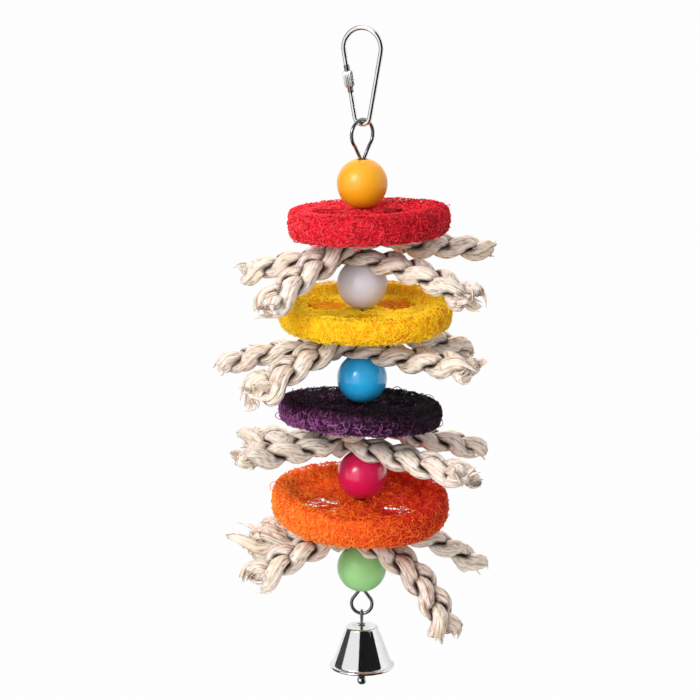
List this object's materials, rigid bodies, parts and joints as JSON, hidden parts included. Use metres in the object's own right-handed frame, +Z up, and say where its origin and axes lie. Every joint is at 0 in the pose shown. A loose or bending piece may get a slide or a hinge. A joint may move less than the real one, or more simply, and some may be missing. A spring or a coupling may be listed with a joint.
{
  "type": "loofah bird toy",
  "caption": "Hanging bird toy: dyed loofah slices, plaited husk braids and painted wooden beads on a wire, with a pear-shaped quick link above and a small bell below.",
  "frame": {"origin": "inside top of the link's loop, where the bar of a cage would carry the toy", "axes": "+Z up along the hanging wire, +X to the right of the front view, which looks along +Y"},
  "size_m": [0.1097, 0.0759, 0.269],
  "materials": {
    "link_steel": "satin",
    "wire_steel": "satin",
    "bell_chrome": "polished",
    "husk": "matte",
    "paint_yellow": "satin",
    "paint_white": "satin",
    "paint_blue": "gloss",
    "paint_magenta": "gloss",
    "paint_green": "satin",
    "loofah_red": "matte",
    "loofah_yellow": "matte",
    "loofah_purple": "matte",
    "loofah_orange": "matte"
  },
  "bodies": {
    "link": {"pear_link": "link_steel"},
    "sleeve": {"link_sleeve_nut": "link_steel"},
    "wire": {"centre_wire": "wire_steel"},
    "bead_yellow": {"bead_yellow": "paint_yellow"},
    "bead_white": {"bead_white": "paint_white"},
    "bead_blue": {"bead_blue": "paint_blue"},
    "bead_magenta": {"bead_magenta": "paint_magenta"},
    "bead_green": {"bead_green": "paint_green"},
    "loofah_red": {"loofah_red": "loofah_red"},
    "loofah_yellow": {"loofah_yellow": "loofah_yellow"},
    "loofah_purple": {"loofah_purple": "loofah_purple"},
    "loofah_orange": {"loofah_orange": "loofah_orange"},
    "braid_red_upper": {"braid_red_upper": "husk"},
    "braid_red_lower": {"braid_red_lower": "husk"},
    "braid_yellow_upper": {"braid_yellow_upper": "husk"},
    "braid_yellow_lower": {"braid_yellow_lower": "husk"},
    "braid_purple_upper": {"braid_purple_upper": "husk"},
    "braid_purple_lower": {"braid_purple_lower": "husk"},
    "braid_orange_upper": {"braid_orange_upper": "husk"},
    "braid_orange_lower": {"braid_orange_lower": "husk"},
    "bell": {"bell_shell": "bell_chrome", "bell_hanger": "wire_steel"},
    "clapper": {"bell_clapper": "bell_chrome"}
  },
  "joints": [
    {"name": "sleeve_open", "type": "slide", "parent": "link", "child": "sleeve", "axis": [-0.1648, 0.0768, 0.9833], "range_m": [0, 0.0055]},
    {"name": "toy_swing", "type": "hinge", "parent": "link", "child": "wire", "pos_m": [0, 0, -0.0366], "axis": [0.9063, -0.4226, 0], "range_deg": [-70, 70]},
    {"name": "bead_yellow_spin", "type": "hinge", "parent": "wire", "child": "bead_yellow", "pos_m": [0, 0, -0.06], "axis": [0, 0, 1], "continuous": true},
    {"name": "bead_white_spin", "type": "hinge", "parent": "wire", "child": "bead_white", "pos_m": [0, 0, -0.1001], "axis": [0, 0, 1], "continuous": true},
    {"name": "bead_blue_spin", "type": "hinge", "parent": "wire", "child": "bead_blue", "pos_m": [0, 0, -0.13828], "axis": [0, 0, 1], "continuous": true},
    {"name": "bead_magenta_spin", "type": "hinge", "parent": "wire", "child": "bead_magenta", "pos_m": [0, 0, -0.17803], "axis": [0, 0, 1], "continuous": true},
    {"name": "bead_green_spin", "type": "hinge", "parent": "wire", "child": "bead_green", "pos_m": [0, 0, -0.21691], "axis": [0, 0, 1], "continuous": true},
    {"name": "loofah_red_spin", "type": "hinge", "parent": "wire", "child": "loofah_red", "pos_m": [0, 0, -0.07019], "axis": [-0.0349, 0.0349, 0.9988], "continuous": true},
    {"name": "loofah_yellow_spin", "type": "hinge", "parent": "wire", "child": "loofah_yellow", "pos_m": [0, 0, -0.11031], "axis": [0, -0.0593, 0.9982], "continuous": true},
    {"name": "loofah_purple_spin", "type": "hinge", "parent": "wire", "child": "loofah_purple", "pos_m": [0, 0, -0.14853], "axis": [0.0419, 0.0662, 0.9969], "continuous": true},
    {"name": "loofah_orange_spin", "type": "hinge", "parent": "wire", "child": "loofah_orange", "pos_m": [0, 0, -0.18833], "axis": [0.0523, -0.087, 0.9948], "continuous": true},
    {"name": "braid_red_upper_turn", "type": "hinge", "parent": "wire", "child": "braid_red_upper", "pos_m": [0, 0, -0.08151], "axis": [0, 0, 1], "range_deg": [-10, 10]},
    {"name": "braid_red_lower_turn", "type": "hinge", "parent": "wire", "child": "braid_red_lower", "pos_m": [0, 0, -0.08591], "axis": [0, 0, 1], "range_deg": [-10, 10]},
    {"name": "braid_yellow_upper_turn", "type": "hinge", "parent": "wire", "child": "braid_yellow_upper", "pos_m": [0, 0, -0.11729], "axis": [0, 0, 1], "range_deg": [-10, 10]},
    {"name": "braid_yellow_lower_turn", "type": "hinge", "parent": "wire", "child": "braid_yellow_lower", "pos_m": [0, 0, -0.12289], "axis": [0, 0, 1], "range_deg": [-10, 10]},
    {"name": "braid_purple_upper_turn", "type": "hinge", "parent": "wire", "child": "braid_purple_upper", "pos_m": [0, 0, -0.15745], "axis": [0, 0, 1], "range_deg": [-10, 10]},
    {"name": "braid_purple_lower_turn", "type": "hinge", "parent": "wire", "child": "braid_purple_lower", "pos_m": [0, 0, -0.16285], "axis": [0, 0, 1], "range_deg": [-10, 10]},
    {"name": "braid_orange_upper_turn", "type": "hinge", "parent": "wire", "child": "braid_orange_upper", "pos_m": [0, 0, -0.19752], "axis": [0, 0, 1], "range_deg": [-10, 10]},
    {"name": "braid_orange_lower_turn", "type": "hinge", "parent": "wire", "child": "braid_orange_lower", "pos_m": [0, 0, -0.20232], "axis": [0, 0, 1], "range_deg": [-10, 10]},
    {"name": "bell_swing", "type": "hinge", "parent": "wire", "child": "bell", "pos_m": [0, 0, -0.23681], "axis": [0.9903, -0.1392, 0], "range_deg": [-60, 60]},
    {"name": "clapper_swing", "type": "hinge", "parent": "bell", "child": "clapper", "pos_m": [0, 0, -0.24721], "axis": [0.1392, 0.9903, 0], "range_deg": [-37, 37]}
  ]
}
